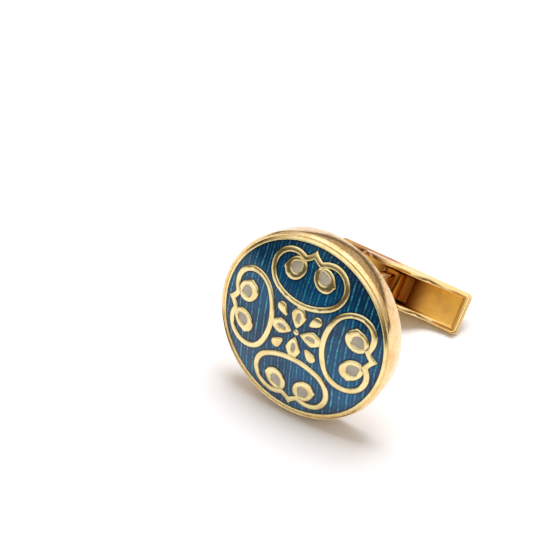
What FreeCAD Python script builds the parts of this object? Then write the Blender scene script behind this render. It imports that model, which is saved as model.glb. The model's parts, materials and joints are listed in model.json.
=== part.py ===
import FreeCAD, Part
import math
import os

import Sketcher
from FreeCAD import Placement, Rotation, Vector

# A round gilt cufflink: a domed cloisonne face over an engine-turned ground, set in a rim with a flat
# back, on a curved waisted stem that ends in a hinged whale-back toggle.
# Millimetres. The head frame has its origin in the centre of the plane of the enamel's edge, x along
# the toggle, y towards the top of the ornament and z out of the face.

doc = FreeCAD.newDocument("cufflink")
sheet = doc.addObject("Spreadsheet::Sheet", "sizes")

# Driving dimensions: name and size.
driving_sizes = [
    # rim and back
    ("rim_diameter", 19.0),
    ("rim_wall", 0.36),
    ("band_taper", 0.3),
    ("head_depth", 2.6),
    ("shoulder_drop", 0.56),
    ("rim_top_drop", 0.1),
    ("back_edge_width", 0.45),
    ("back_plate_thickness", 0.7),
    ("ledge_width", 0.5),
    # face
    ("dome_height", 1.32),
    ("enamel_thickness", 0.5),
    ("ground_thickness", 0.5),
    ("flange_drop", 0.2),
    ("flange_width", 0.6),
    ("border_width", 0.32),
    ("border_rise", 0.1),
    ("cloison_width", 0.53),
    ("cloison_rise", 0.1),
    ("inlay_sink", 0.06),
    ("seat_gap", 0.02),
    # stem
    ("stem_reach", 14.2),
    ("stem_straight", 7.5),
    ("stem_bend", 27.0),
    ("stem_thickness", 1.3),
    ("stem_foot_width", 3.2),
    ("stem_waist_width", 1.5),
    ("stem_root_inset", 0.1),
    ("knuckle_diameter", 2.4),
    # toggle
    ("toggle_length", 15.5),
    ("toggle_width", 4.1),
    ("toggle_wall", 0.5),
    ("base_side_margin", 0.15),
    ("base_end_margin", 0.12),
    ("base_sheet", 0.3),
    ("end_lip", 0.35),
    ("hump_cover", 1.2),
    ("hump_flat_length", 1.6),
    ("end_flat_length", 1.3),
    ("toggle_corner_radius", 0.45),
    ("pin_diameter", 1.1),
    ("pin_clearance", 0.05),
    ("knuckle_side_clearance", 0.1),
    ("spring_length", 3.2),
    ("spring_bow", 0.68),
    ("spring_side_gap", 0.25),
    ("spring_thickness", 0.18),
    ("spring_clearance", 0.12),
]
for row, (name, size) in enumerate(driving_sizes, start=1):
    sheet.set(f"A{row}", name)
    sheet.set(f"B{row}", str(size))
    sheet.setAlias(f"B{row}", name)
doc.recompute()


class Size:
    # A size that keeps its value beside the formula that gives it from the sheet.
    def __init__(self, value, text):
        self.value = value
        self.text = text

    def joined(self, other, sign, value):
        return Size(value, f"({self.text} {sign} {other.text})")

    def __add__(self, other):
        other = as_size(other)
        return self.joined(other, "+", self.value + other.value)

    def __sub__(self, other):
        other = as_size(other)
        return self.joined(other, "-", self.value - other.value)

    def __mul__(self, other):
        other = as_size(other)
        return self.joined(other, "*", self.value * other.value)

    def __truediv__(self, other):
        other = as_size(other)
        return self.joined(other, "/", self.value / other.value)

    def __neg__(self):
        return Size(-self.value, f"(0 - {self.text})")


def as_size(number):
    return number if isinstance(number, Size) else Size(number, repr(number))


def given(name):
    return Size(float(sheet.get(name)), f"sizes.{name}")


def root(size):
    return Size(math.sqrt(size.value), f"sqrt({size.text})")


def sine(size):
    return Size(math.sin(math.radians(size.value)), f"sin({size.text} * 1 deg)")


def cosine(size):
    return Size(math.cos(math.radians(size.value)), f"cos({size.text} * 1 deg)")


zero = Size(0.0, "0")

# Sizes that follow from the driving ones.
rim_radius = given("rim_diameter") / 2
back_radius = rim_radius - given("band_taper")
back_bore = back_radius - given("back_edge_width")
head_depth = given("head_depth")
seat_gap = given("seat_gap")
rim_bore = rim_radius - given("rim_wall")
plate_radius = rim_bore - seat_gap
enamel_radius = plate_radius - given("border_width")
dome_height = given("dome_height")
dome_radius = (enamel_radius * enamel_radius + dome_height * dome_height) / (dome_height * 2)
dome_centre_depth = dome_radius - dome_height
enamel_thickness = given("enamel_thickness")
face_thickness = enamel_thickness + given("ground_thickness")
face_seat = -(face_thickness + given("flange_drop"))
stem_bend = given("stem_bend")
stem_arc_radius = (given("stem_reach") - given("stem_straight")) / sine(stem_bend)
pin_radius = given("pin_diameter") / 2
base_half_length = given("toggle_length") / 2
base_half_width = given("toggle_width") / 2 + given("base_side_margin")
toggle_half_length = base_half_length - given("base_end_margin")
toggle_wall = given("toggle_wall")
slot_width = given("toggle_width") - toggle_wall * 2
knuckle_radius = given("knuckle_diameter") / 2
knuckle_width = slot_width - given("knuckle_side_clearance") * 2
spring_crown = -(knuckle_radius + given("spring_clearance"))
floor_height = spring_crown - given("spring_bow")
base_height = floor_height - toggle_wall
hump_top = given("hump_cover")


def dome_level(radius, rise):
    # Height over the enamel's edge of a sphere concentric with the dome, that much above it.
    reach = dome_radius + rise
    return root(reach * reach - radius * radius) - dome_centre_depth


# The hinge frame has its origin on the pin at the end of the bent stem, x along the toggle, y along the
# pin and z from the toggle's base towards its opening. Both frames' places are within the head frame.
stem_sweep = math.radians(stem_bend.value)
head_place = Placement()
hinge_place = Placement(
    Vector(
        0,
        -stem_arc_radius.value * (1 - math.cos(stem_sweep)),
        -head_depth.value - given("stem_reach").value,
    ),
    Rotation(Vector(1, 0, 0), -stem_bend.value),
)

# Pieces, each with its place in the head frame.
nodes = []
places = {}


def keep_node(node, name, place):
    node.Label = name
    nodes.append(node)
    places[name] = place


# Sketch and feature helpers.
def new_body(name, place=head_place):
    body = doc.addObject("PartDesign::Body", name)
    keep_node(body, name, place)
    return body


def sketch_on(body, name, role):
    plane = next(feature for feature in body.Origin.OriginFeatures if feature.Role == role)
    sketch = body.newObject("Sketcher::SketchObject", f"{body.Name}_{name}")
    sketch.AttachmentSupport = [(plane, "")]
    sketch.MapMode = "FlatFace"
    return sketch


def hold_point(sketch, edge, end, place, label):
    # Ties one point of a sketch to its two sizes, measured from the sketch's origin.
    axes = ((place[0], "DistanceX", -2), (place[1], "DistanceY", -1))
    for size, kind, axis in axes:
        if size is zero:
            sketch.addConstraint(Sketcher.Constraint("PointOnObject", edge, end, axis))
            continue
        held = sketch.addConstraint(Sketcher.Constraint(kind, -1, 1, edge, end, size.value))
        sketch.renameConstraint(held, f"{label}_{kind[-1]}")
        sketch.setExpression(f"Constraints.{label}_{kind[-1]}", size.text)


def flat_point(place):
    return Vector(place[0].value, place[1].value, 0)


def draw_outline(sketch, corners, through=None):
    # Closed outline; an edge listed in through is an arc by way of the place given there.
    through = through or {}
    first_ends, last_ends = [], []
    count = len(corners)
    for index, corner in enumerate(corners):
        start, finish = flat_point(corner), flat_point(corners[(index + 1) % count])
        if index not in through:
            edge = sketch.addGeometry(Part.LineSegment(start, finish))
            first_ends.append((edge, 1))
            last_ends.append((edge, 2))
            continue
        edge = sketch.addGeometry(Part.Arc(start, flat_point(through[index]), finish))
        first, second = (sketch.getPoint(edge, end).distanceToPoint(start) for end in (1, 2))
        forward = first < second
        first_ends.append((edge, 1 if forward else 2))
        last_ends.append((edge, 2 if forward else 1))
    for index, (edge, end) in enumerate(last_ends):
        sketch.addConstraint(Sketcher.Constraint("Coincident", edge, end, *first_ends[(index + 1) % count]))
    for index, corner in enumerate(corners):
        hold_point(sketch, *first_ends[index], corner, f"corner{index}")
    for index, place in through.items():
        point = sketch.addGeometry(Part.Point(flat_point(place)), True)
        hold_point(sketch, point, 1, place, f"through{index}")
        sketch.addConstraint(Sketcher.Constraint("PointOnObject", point, 1, first_ends[index][0]))


def draw_rounded_plate(sketch, half_length, half_width, radius):
    # A rectangle about the origin with its corners rounded.
    edge_x, edge_y = half_length - radius, half_width - radius
    corners, through = [], {}
    for sign_x, sign_y in ((1, 1), (-1, 1), (-1, -1), (1, -1)):
        beside, above = (half_length * sign_x, edge_y * sign_y), (edge_x * sign_x, half_width * sign_y)
        through[len(corners)] = (
            (edge_x + radius * root(as_size(0.5))) * sign_x,
            (edge_y + radius * root(as_size(0.5))) * sign_y,
        )
        corners += [beside, above] if sign_x == sign_y else [above, beside]
    draw_outline(sketch, corners, through)


def draw_circle(sketch, radius):
    edge = sketch.addGeometry(Part.Circle(Vector(), Vector(0, 0, 1), radius.value))
    sketch.addConstraint(Sketcher.Constraint("Coincident", edge, 3, -1, 1))
    held = sketch.addConstraint(Sketcher.Constraint("Radius", edge, radius.value))
    sketch.renameConstraint(held, "circle_radius")
    sketch.setExpression("Constraints.circle_radius", radius.text)


def add_feature(body, kind, sketch):
    feature = body.newObject(f"PartDesign::{kind}", f"{sketch.Name}_{kind.lower()}")
    feature.Profile = sketch
    sketch.Visibility = False
    return feature


def turn_full(body, sketch):
    feature = add_feature(body, "Revolution", sketch)
    feature.ReferenceAxis = (sketch, ["V_Axis"])
    feature.Angle = 360
    return feature


def pad_both_ways(body, sketch, length):
    feature = add_feature(body, "Pad", sketch)
    feature.SideType = "Symmetric"
    feature.setExpression("Length", length.text)
    return feature


def cut_both_ways(body, sketch, length):
    feature = add_feature(body, "Pocket", sketch)
    feature.SideType = "Symmetric"
    feature.setExpression("Length", length.text)
    return feature


# Rim: rounded shoulder, slightly tapered side band, a ledge inside for the face, a recess for the back.
def make_rim():
    ledge_bore = plate_radius - given("ledge_width")
    top = -given("rim_top_drop")
    shoulder = -given("shoulder_drop")
    run = given("rim_wall")
    rise = top - shoulder
    chord = root(run * run + rise * rise)
    round_radius = chord * chord / (run * 2)
    back_seat = given("back_plate_thickness") - head_depth
    body = new_body("bezel_rim")
    sketch = sketch_on(body, "section", "XZ_Plane")
    draw_outline(
        sketch,
        [
            (rim_bore, top),
            (rim_radius, shoulder),
            (back_radius, -head_depth),
            (back_bore, -head_depth),
            (back_bore, back_seat),
            (ledge_bore, back_seat),
            (ledge_bore, face_seat),
            (rim_bore, face_seat),
        ],
        {
            0: (
                rim_radius - round_radius + round_radius * rise / chord,
                shoulder + round_radius * run / chord,
            )
        },
    )
    turn_full(body, sketch)


# Back plate: a flat disc flush with the rim's back edge.
def make_back_plate():
    radius = back_bore - seat_gap
    inner = given("back_plate_thickness") - head_depth
    body = new_body("back_plate")
    sketch = sketch_on(body, "section", "XZ_Plane")
    draw_outline(sketch, [(zero, -head_depth), (radius, -head_depth), (radius, inner), (zero, inner)])
    turn_full(body, sketch)


# Ground plate: the domed, engine-turned plate under the enamel, with a flat flange on the rim's ledge.
def make_ground_plate():
    flange_radius = plate_radius - given("flange_width")
    top_rise = -enamel_thickness
    under_rise = -face_thickness
    body = new_body("ground_plate")
    sketch = sketch_on(body, "section", "XZ_Plane")
    draw_outline(
        sketch,
        [
            (zero, dome_level(zero, top_rise)),
            (plate_radius, dome_level(plate_radius, top_rise)),
            (plate_radius, face_seat),
            (flange_radius, face_seat),
            (flange_radius, dome_level(flange_radius, under_rise)),
            (zero, dome_level(zero, under_rise)),
        ],
        {
            0: (plate_radius / 2, dome_level(plate_radius / 2, top_rise)),
            4: (flange_radius / 2, dome_level(flange_radius / 2, under_rise)),
        },
    )
    turn_full(body, sketch)


# Border ring: the gold edge that holds the enamel in, standing on the ground plate.
def make_border_ring():
    foot_rise = seat_gap - enamel_thickness
    middle = enamel_radius + given("border_width") / 2
    body = new_body("border_ring")
    sketch = sketch_on(body, "section", "XZ_Plane")
    draw_outline(
        sketch,
        [
            (enamel_radius, dome_level(enamel_radius, foot_rise)),
            (plate_radius, dome_level(plate_radius, foot_rise)),
            (plate_radius, given("border_rise")),
            (enamel_radius, given("border_rise")),
        ],
        {0: (middle, dome_level(middle, foot_rise))},
    )
    turn_full(body, sketch)


# Centre bead: a small round-topped post where the petals meet.
bead_radius_share = 0.034
bead_radius = enamel_radius * bead_radius_share


def make_centre_bead():
    radius = bead_radius
    rise = given("cloison_rise")
    foot = dome_level(zero, seat_gap - enamel_thickness)
    crown = dome_height + rise
    cap_radius = (radius * radius + rise * rise) / (rise * 2)
    half_radius = radius / 2
    half_level = crown - cap_radius + root(cap_radius * cap_radius - half_radius * half_radius)
    body = new_body("centre_bead")
    sketch = sketch_on(body, "section", "XZ_Plane")
    draw_outline(
        sketch,
        [(zero, foot), (radius, foot), (radius, dome_height), (zero, crown)],
        {2: (half_radius, half_level)},
    )
    turn_full(body, sketch)


# Stem: a flat bar that bends sideways in an arc on its way from the back to the toggle, wide at its foot
# and root with a waist where the arc ends, and a round knuckle across its end. Its own frame has its
# origin on the hinge pin and y along the pin.
def along_stem(turn_share, onward_share, side):
    # A place beside the middle line, by the share of its arc and then of its straight part.
    angle = stem_bend * turn_share
    reach = stem_arc_radius + side
    onward = given("stem_straight") * onward_share
    return (
        reach * cosine(angle) - stem_arc_radius - onward * sine(angle),
        reach * sine(angle) + onward * cosine(angle),
    )


def make_stem():
    halfway, whole_way, flare_share = 0.5, 1.0, 0.25
    root_half = knuckle_width / 2 - given("stem_root_inset")
    waist_half = given("stem_waist_width") / 2
    foot_half = given("stem_foot_width") / 2
    below_half = waist_half + (root_half - waist_half) * flare_share
    above_half = waist_half + (foot_half - waist_half) * flare_share
    body = new_body("stem", hinge_place)
    bar = sketch_on(body, "bar_outline", "YZ_Plane")
    draw_outline(
        bar,
        [
            (root_half, zero),
            along_stem(whole_way, 0.0, waist_half),
            along_stem(whole_way, whole_way, foot_half),
            along_stem(whole_way, whole_way, -foot_half),
            along_stem(whole_way, 0.0, -waist_half),
            (-root_half, zero),
        ],
        {
            0: along_stem(halfway, 0.0, below_half),
            1: along_stem(whole_way, halfway, above_half),
            3: along_stem(whole_way, halfway, -above_half),
            4: along_stem(halfway, 0.0, -below_half),
        },
    )
    pad_both_ways(body, bar, given("stem_thickness"))
    knuckle = sketch_on(body, "knuckle_circle", "XZ_Plane")
    draw_circle(knuckle, knuckle_radius)
    pad_both_ways(body, knuckle, knuckle_width)
    bore = sketch_on(body, "pin_bore", "XZ_Plane")
    draw_circle(bore, pin_radius + given("pin_clearance"))
    cut_both_ways(body, bore, given("toggle_width"))


# Toggle shell: a tray with two bell-shaped side walls and low ends on a flat base that stands out a little
# all round.
def make_toggle_shell():
    end_top = floor_height + given("end_lip")
    hump_half = given("hump_flat_length") / 2
    slope_foot = toggle_half_length - given("end_flat_length")
    run = slope_foot - hump_half
    rise = hump_top - end_top
    slant = root(run * run + rise * rise)
    bend = slant * slant / (rise * 4)
    side_step = bend * rise / slant
    up_step = bend - bend * run / slant
    body = new_body("toggle_shell", hinge_place)
    side = sketch_on(body, "side_outline", "XZ_Plane")
    middle = (hump_half + run / 2, end_top + rise / 2)
    low_arc = (slope_foot - side_step, end_top + up_step)
    high_arc = (hump_half + side_step, hump_top - up_step)
    draw_outline(
        side,
        [
            (-toggle_half_length, base_height),
            (toggle_half_length, base_height),
            (toggle_half_length, end_top),
            (slope_foot, end_top),
            middle,
            (hump_half, hump_top),
            (-hump_half, hump_top),
            (-middle[0], middle[1]),
            (-slope_foot, end_top),
            (-toggle_half_length, end_top),
        ],
        {
            3: low_arc,
            4: high_arc,
            6: (-high_arc[0], high_arc[1]),
            7: (-low_arc[0], low_arc[1]),
        },
    )
    block = pad_both_ways(body, side, given("toggle_width"))
    doc.recompute()
    corners = body.newObject("PartDesign::Fillet", "toggle_shell_corners")
    corners.Base = (block, upright_end_edges(block.Shape))
    corners.setExpression("Radius", "sizes.toggle_corner_radius")
    base = sketch_on(body, "base_outline", "XY_Plane")
    base.setExpression("AttachmentOffset.Base.z", base_height.text)
    draw_rounded_plate(base, base_half_length, base_half_width, given("toggle_corner_radius"))
    plate = add_feature(body, "Pad", base)
    plate.setExpression("Length", "sizes.base_sheet")
    tray = sketch_on(body, "tray_outline", "XY_Plane")
    inner_length = toggle_half_length - toggle_wall
    inner_width = slot_width / 2
    tray.setExpression("AttachmentOffset.Base.z", floor_height.text)
    draw_outline(
        tray,
        [
            (-inner_length, -inner_width),
            (inner_length, -inner_width),
            (inner_length, inner_width),
            (-inner_length, inner_width),
        ],
    )
    hollow = add_feature(body, "Pocket", tray)
    hollow.Reversed = True
    hollow.setExpression("Length", (hump_top - base_height).text)
    holes = sketch_on(body, "pin_holes", "XZ_Plane")
    draw_circle(holes, pin_radius + seat_gap)
    cut_both_ways(body, holes, given("toggle_width") * 2)


def upright_end_edges(shape):
    # The four upright edges at the corners of the tray's plan.
    reach = toggle_half_length.value
    names = []
    for number, edge in enumerate(shape.Edges, start=1):
        box = edge.BoundBox
        if box.XLength + box.YLength < box.ZLength and abs(abs(box.XMin) - reach) < box.ZLength:
            names.append(f"Edge{number}")
    return names


# Hinge pin: a plain rivet across the tray, flush with its walls.
def make_hinge_pin():
    body = new_body("hinge_pin", hinge_place)
    sketch = sketch_on(body, "pin_circle", "XZ_Plane")
    draw_circle(sketch, pin_radius)
    pad_both_ways(body, sketch, given("toggle_width"))


# Leaf spring: a bowed strip on the tray's floor that presses on the knuckle.
def make_leaf_spring():
    half = given("spring_length") / 2
    thickness = given("spring_thickness")
    foot = floor_height
    body = new_body("leaf_spring", hinge_place)
    sketch = sketch_on(body, "bow_outline", "XZ_Plane")
    draw_outline(
        sketch,
        [(-half, foot), (half, foot), (half, foot + thickness), (-half, foot + thickness)],
        {0: (zero, spring_crown - thickness), 2: (zero, spring_crown)},
    )
    pad_both_ways(body, sketch, slot_width - given("spring_side_gap") * 2)


# Cloisons, enamel and inlays. Their outlines are shares of the enamel's radius, drawn for the motif at
# the top of the face, and the other three are turned copies.
quarter_turn = 90
motif_sides = ["north", "west", "south", "east"]
motif_places = {
    side: Placement(Vector(), Rotation(Vector(0, 0, 1), quarter_turn * count))
    for count, side in enumerate(motif_sides)
}


def face_point(x_share, y_share):
    return Vector(x_share, y_share, 0) * enamel_radius.value


def arc(start, through, finish):
    return Part.Arc(start, through, finish).toShape()


def mirrored(point):
    return Vector(-point.x, point.y, point.z)


def on_circle(centre, radius, degrees):
    turn = math.radians(degrees)
    return centre + Vector(math.cos(turn), math.sin(turn), 0) * radius


def bulge_between(start, finish, centre):
    # The middle of the shorter arc between two points at one distance from a centre.
    middle = (start + finish) / 2 - centre
    return centre + middle * ((start - centre).Length / middle.Length)


# Scroll: a flat bottom arc, two side arcs, two arms that curl in, and a pointed bracket between them.
scroll_bottom_share = 0.332
scroll_centre_share = 0.645
side_offset_share, side_radius_share = 0.192, 0.263
arm_offset_share = 0.229
arm_radius_share = side_offset_share + side_radius_share - arm_offset_share
bracket_centre_shares = (0.226, 1.105)
bracket_hollow_share = 0.27


def circles_meet(first_centre, first_radius, second_centre, second_radius):
    # Where two circles cross, on the side of the motif's middle line.
    span = second_centre - first_centre
    along = (first_radius ** 2 - second_radius ** 2 + span.Length ** 2) / (2 * span.Length)
    across = math.sqrt(first_radius ** 2 - along ** 2)
    heading = span / span.Length
    return first_centre + heading * along + Vector(-heading.y, heading.x, 0) * across


def scroll_face(reach):
    # The area inside the scroll's centre line, moved outwards by reach.
    bottom = face_point(0, scroll_bottom_share)
    side_centre = face_point(side_offset_share, scroll_centre_share)
    arm_centre = face_point(arm_offset_share, scroll_centre_share)
    side_radius = side_radius_share * enamel_radius.value
    arm_radius = arm_radius_share * enamel_radius.value
    lift = side_centre.y - bottom.y
    bottom_radius = (side_centre.x ** 2 + lift ** 2 - side_radius ** 2) / (2 * (lift - side_radius))
    bottom_centre = bottom + Vector(0, bottom_radius, 0)
    towards_join = side_centre - bottom_centre
    join_degrees = math.degrees(math.atan2(towards_join.y, towards_join.x))
    bracket_centre = face_point(*bracket_centre_shares)
    bracket_radius = bracket_hollow_share * enamel_radius.value + given("cloison_width").value / 2 - reach
    shifted_bottom = bottom - Vector(0, reach, 0)
    join = on_circle(side_centre, side_radius + reach, join_degrees)
    side_mid = on_circle(side_centre, side_radius + reach, join_degrees / 2)
    side = on_circle(side_centre, side_radius + reach, 0)
    corner = circles_meet(arm_centre, arm_radius + reach, bracket_centre, bracket_radius)
    arm_mid = bulge_between(side, corner, arm_centre)
    tip_drop = math.sqrt(bracket_radius ** 2 - bracket_centre.x ** 2)
    tip_point = Vector(0, bracket_centre.y - tip_drop, 0)
    sag = bulge_between(corner, tip_point, bracket_centre)
    return Part.Face(Part.Wire([
        arc(mirrored(join), shifted_bottom, join),
        arc(join, side_mid, side),
        arc(side, arm_mid, corner),
        arc(corner, sag, tip_point),
        arc(tip_point, mirrored(sag), mirrored(corner)),
        arc(mirrored(corner), mirrored(arm_mid), mirrored(side)),
        arc(mirrored(side), mirrored(side_mid), mirrored(join)),
    ]))


flank_radius_share = 2.2


def teardrop_face(point, centre, radius):
    # A round end whose two full flanks run smoothly out of it to a point.
    axis = point - centre
    heading = math.degrees(math.atan2(axis.y, axis.x))
    flank_radius = axis.Length * flank_radius_share
    inset = flank_radius - radius
    cosine_of_turn = (axis.Length ** 2 + inset ** 2 - flank_radius ** 2) / (2 * axis.Length * inset)
    turn = math.degrees(math.acos(cosine_of_turn))
    left_centre, right_centre = (on_circle(centre, inset, heading + way) for way in (-turn, turn))
    left, right = (on_circle(centre, radius, heading + 180 + way) for way in (-turn, turn))
    back = on_circle(centre, radius, heading + 180)
    return Part.Face(Part.Wire([
        arc(point, bulge_between(point, left, left_centre), left),
        arc(left, back, right),
        arc(right, bulge_between(right, point, right_centre), point),
    ]))


def ellipse_face(centre, long_radius, short_radius, lean_degrees):
    lean = math.radians(lean_degrees)
    long_axis = Vector(math.cos(lean), math.sin(lean), 0)
    short_axis = Vector(-math.sin(lean), math.cos(lean), 0)
    ellipse = Part.Ellipse(centre + long_axis * long_radius, centre + short_axis * short_radius, centre)
    return Part.Face(Part.Wire([ellipse.toShape()]))


# Bud: an oval with a soft corner on its outer side, round a teardrop inlay.
bud_centre_shares = (0.18, 0.695)
bud_long_share, bud_short_share = 0.142, 0.118
bud_lean_degrees = -50
bud_corner_shares = (0.29, 0.668)
bud_corner_round_share, bud_corner_soft_share = 0.075, 0.032
bud_inlay_point_shares = (0.124, 0.788)
bud_inlay_centre_shares = (0.178, 0.704)
bud_inlay_radius_share, bud_inlay_soft_share = 0.066, 0.02


def bud_face(grow):
    centre = face_point(*bud_centre_shares)
    long_radius = bud_long_share * enamel_radius.value + grow
    short_radius = bud_short_share * enamel_radius.value + grow
    oval = ellipse_face(centre, long_radius, short_radius, bud_lean_degrees)
    corner_round = bud_corner_round_share * enamel_radius.value
    corner = teardrop_face(face_point(*bud_corner_shares), centre, corner_round)
    corner = grown(corner, bud_corner_soft_share * enamel_radius.value + grow)
    return oval.fuse(corner).removeSplitter().Faces[0]


def bud_inlay_face(grow):
    point = face_point(*bud_inlay_point_shares)
    centre = face_point(*bud_inlay_centre_shares)
    radius = bud_inlay_radius_share * enamel_radius.value
    return grown(softened(teardrop_face(point, centre, radius), bud_inlay_soft_share), grow)


petal_tip_share = 0.054
petal_flank_shares = (0.053, 0.122)
petal_wide_shares = (0.091, 0.207)
petal_brow_shares = (0.066, 0.262)
petal_end_shares = (0.03, 0.315)
petal_soft_share = 0.016
petal_inlay_centre_share = 0.184
petal_inlay_long_share, petal_inlay_short_share = 0.057, 0.029
petal_inlay_lean_degrees = 90


def petal_face(grow):
    tip = face_point(0, petal_tip_share)
    flank, wide = face_point(*petal_flank_shares), face_point(*petal_wide_shares)
    brow, end = face_point(*petal_brow_shares), face_point(*petal_end_shares)
    outline = Part.Wire([
        arc(tip, flank, wide),
        arc(wide, brow, end),
        Part.LineSegment(end, mirrored(end)).toShape(),
        arc(mirrored(end), mirrored(brow), mirrored(wide)),
        arc(mirrored(wide), mirrored(flank), tip),
    ])
    return grown(softened(Part.Face(outline), petal_soft_share), grow)


def petal_inlay_face(grow):
    centre = face_point(0, petal_inlay_centre_share)
    long_radius = petal_inlay_long_share * enamel_radius.value + grow
    short_radius = petal_inlay_short_share * enamel_radius.value + grow
    return ellipse_face(centre, long_radius, short_radius, petal_inlay_lean_degrees)


drop_point_share, drop_centre_share, drop_radius_share = 0.2, 0.318, 0.055
drop_soft_share = 0.014
drop_turn_degrees = -45


def drop_face(grow):
    point = face_point(0, drop_point_share)
    centre = face_point(0, drop_centre_share)
    face = teardrop_face(point, centre, drop_radius_share * enamel_radius.value)
    face = grown(softened(face, drop_soft_share), grow)
    face.rotate(Vector(), Vector(0, 0, 1), drop_turn_degrees)
    return face


def grown(face, grow):
    return face.makeOffset2D(grow) if grow else face


def softened(face, round_share):
    # The face with its outer corners rounded.
    round_radius = round_share * enamel_radius.value
    return grown(grown(face, -round_radius), round_radius)


def layer(low_rise, high_rise):
    # The space between two spheres concentric with the dome, over the head's front half.
    centre = Vector(0, 0, -dome_centre_depth.value)
    outer = Part.makeSphere(dome_radius.value + high_rise, centre, Vector(0, 0, 1), 0, 90, 360)
    return outer.cut(Part.makeSphere(dome_radius.value + low_rise, centre))


def raised(face):
    # A flat outline made into a column that passes through every layer of the face.
    face = face.copy()
    face.translate(Vector(0, 0, -head_depth.value))
    return face.extrude(Vector(0, 0, head_depth.value + dome_height.value * 2))


def make_cloisonne():
    gap = seat_gap.value
    half_width = given("cloison_width").value / 2
    foot = gap - enamel_thickness.value
    wire_layer = layer(foot, given("cloison_rise").value)
    enamel_layer = layer(foot, 0)
    inlay_layer = layer(foot, given("cloison_rise").value - given("inlay_sink").value)
    scroll_column = raised(scroll_face(half_width)).cut(raised(scroll_face(-half_width)))
    scroll_clear = raised(scroll_face(half_width + gap)).cut(raised(scroll_face(-half_width - gap)))
    bud_column = raised(bud_face(0)).cut(raised(bud_inlay_face(0))).cut(scroll_clear)
    petal_column = raised(petal_face(0)).cut(raised(petal_inlay_face(0))).cut(scroll_clear)
    flip = Vector(1, 0, 0)

    def both_sides(shape):
        return {"right": shape, "left": shape.mirror(Vector(), flip)}

    bud_clear = raised(bud_face(gap))
    cell = raised(scroll_face(-half_width - gap))
    for clear in both_sides(bud_clear).values():
        cell = cell.cut(clear)
    pieces = {
        "scroll_wire": scroll_column.common(wire_layer),
        "petal_wire": petal_column.common(wire_layer),
        "drop_wire": raised(drop_face(0)).common(wire_layer),
        "enamel_cell": cell.common(enamel_layer),
        "petal_inlay": raised(petal_inlay_face(-gap)).common(inlay_layer),
    }
    for side, shape in both_sides(bud_column.common(wire_layer)).items():
        pieces[f"bud_wire_{side}"] = shape
    for side, shape in both_sides(raised(bud_inlay_face(-gap)).common(inlay_layer)).items():
        pieces[f"bud_inlay_{side}"] = shape
    field = enamel_layer.common(field_disc())
    columns = [raised(scroll_face(half_width + gap)), raised(petal_face(gap)), raised(drop_face(gap))]
    for side, place in motif_places.items():
        for name, shape in pieces.items():
            keep_shape(f"{name}_{side}", largest_solid(shape), place)
        for column in columns:
            column.Placement = place
            field = field.cut(column)
    field = field.cut(Part.makeCylinder(bead_radius.value + gap, head_depth.value))
    keep_shape("enamel_field", largest_solid(field), head_place)


def field_disc():
    height = head_depth.value + dome_height.value
    radius = enamel_radius.value - seat_gap.value
    return Part.makeCylinder(radius, height, Vector(0, 0, -head_depth.value))


def largest_solid(shape):
    return max(shape.Solids, key=lambda solid: solid.Volume)


def keep_shape(name, shape, place):
    node = doc.addObject("Part::Feature", name)
    node.Shape = shape
    keep_node(node, name, place)


make_rim()
make_back_plate()
make_ground_plate()
make_border_ring()
make_centre_bead()
make_stem()
make_toggle_shell()
make_hinge_pin()
make_leaf_spring()
doc.recompute()
make_cloisonne()

# At rest the part lies on the rim's back edge and on the toggle's long lower edge, facing -Y, with its
# origin under the middle of its box.
rim_edge = Vector(0, -back_radius.value, -head_depth.value)
toggle_edge = hinge_place.multVec(Vector(0, -base_half_width.value, base_height.value))
lean = math.degrees(math.atan2(toggle_edge.y - rim_edge.y, rim_edge.z - toggle_edge.z))
rest_place = Placement(Vector(), Rotation(Vector(1, 0, 0), 90 - lean))


def set_places():
    for node in nodes:
        node.Placement = rest_place * places[node.Label]


set_places()
whole = FreeCAD.BoundBox()
for node in nodes:
    whole.add(node.Shape.optimalBoundingBox(False))
rest_place.Base = Vector(-whole.Center.x, -whole.Center.y, -whole.ZMin)
set_places()
doc.recompute()

for item in doc.Objects:
    if "Invalid" in item.State or "Error" in item.State:
        raise RuntimeError(f"{item.Label} did not build")
for node in nodes:
    if node.Shape.isNull() or not node.Shape.isValid():
        raise RuntimeError(f"{node.Label} has no valid shape")

os.makedirs("parts", exist_ok=True)
for node in nodes:
    node.Shape.exportStep(f"parts/{node.Label}.step")

hinge_at_rest = rest_place * hinge_place
pin_axis = hinge_at_rest.Rotation.multVec(Vector(0, 1, 0))
print(f"{len(nodes)} pieces, face leaning back {lean:.3f} degrees")
print("hinge at", [round(value, 4) for value in hinge_at_rest.Base])
print("hinge axis", [round(value, 6) for value in pin_axis])
print("box", [round(value, 3) for value in (whole.XLength, whole.YLength, whole.ZLength)])
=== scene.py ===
import json
import math

import bpy
from mathutils import Matrix, Vector


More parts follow.
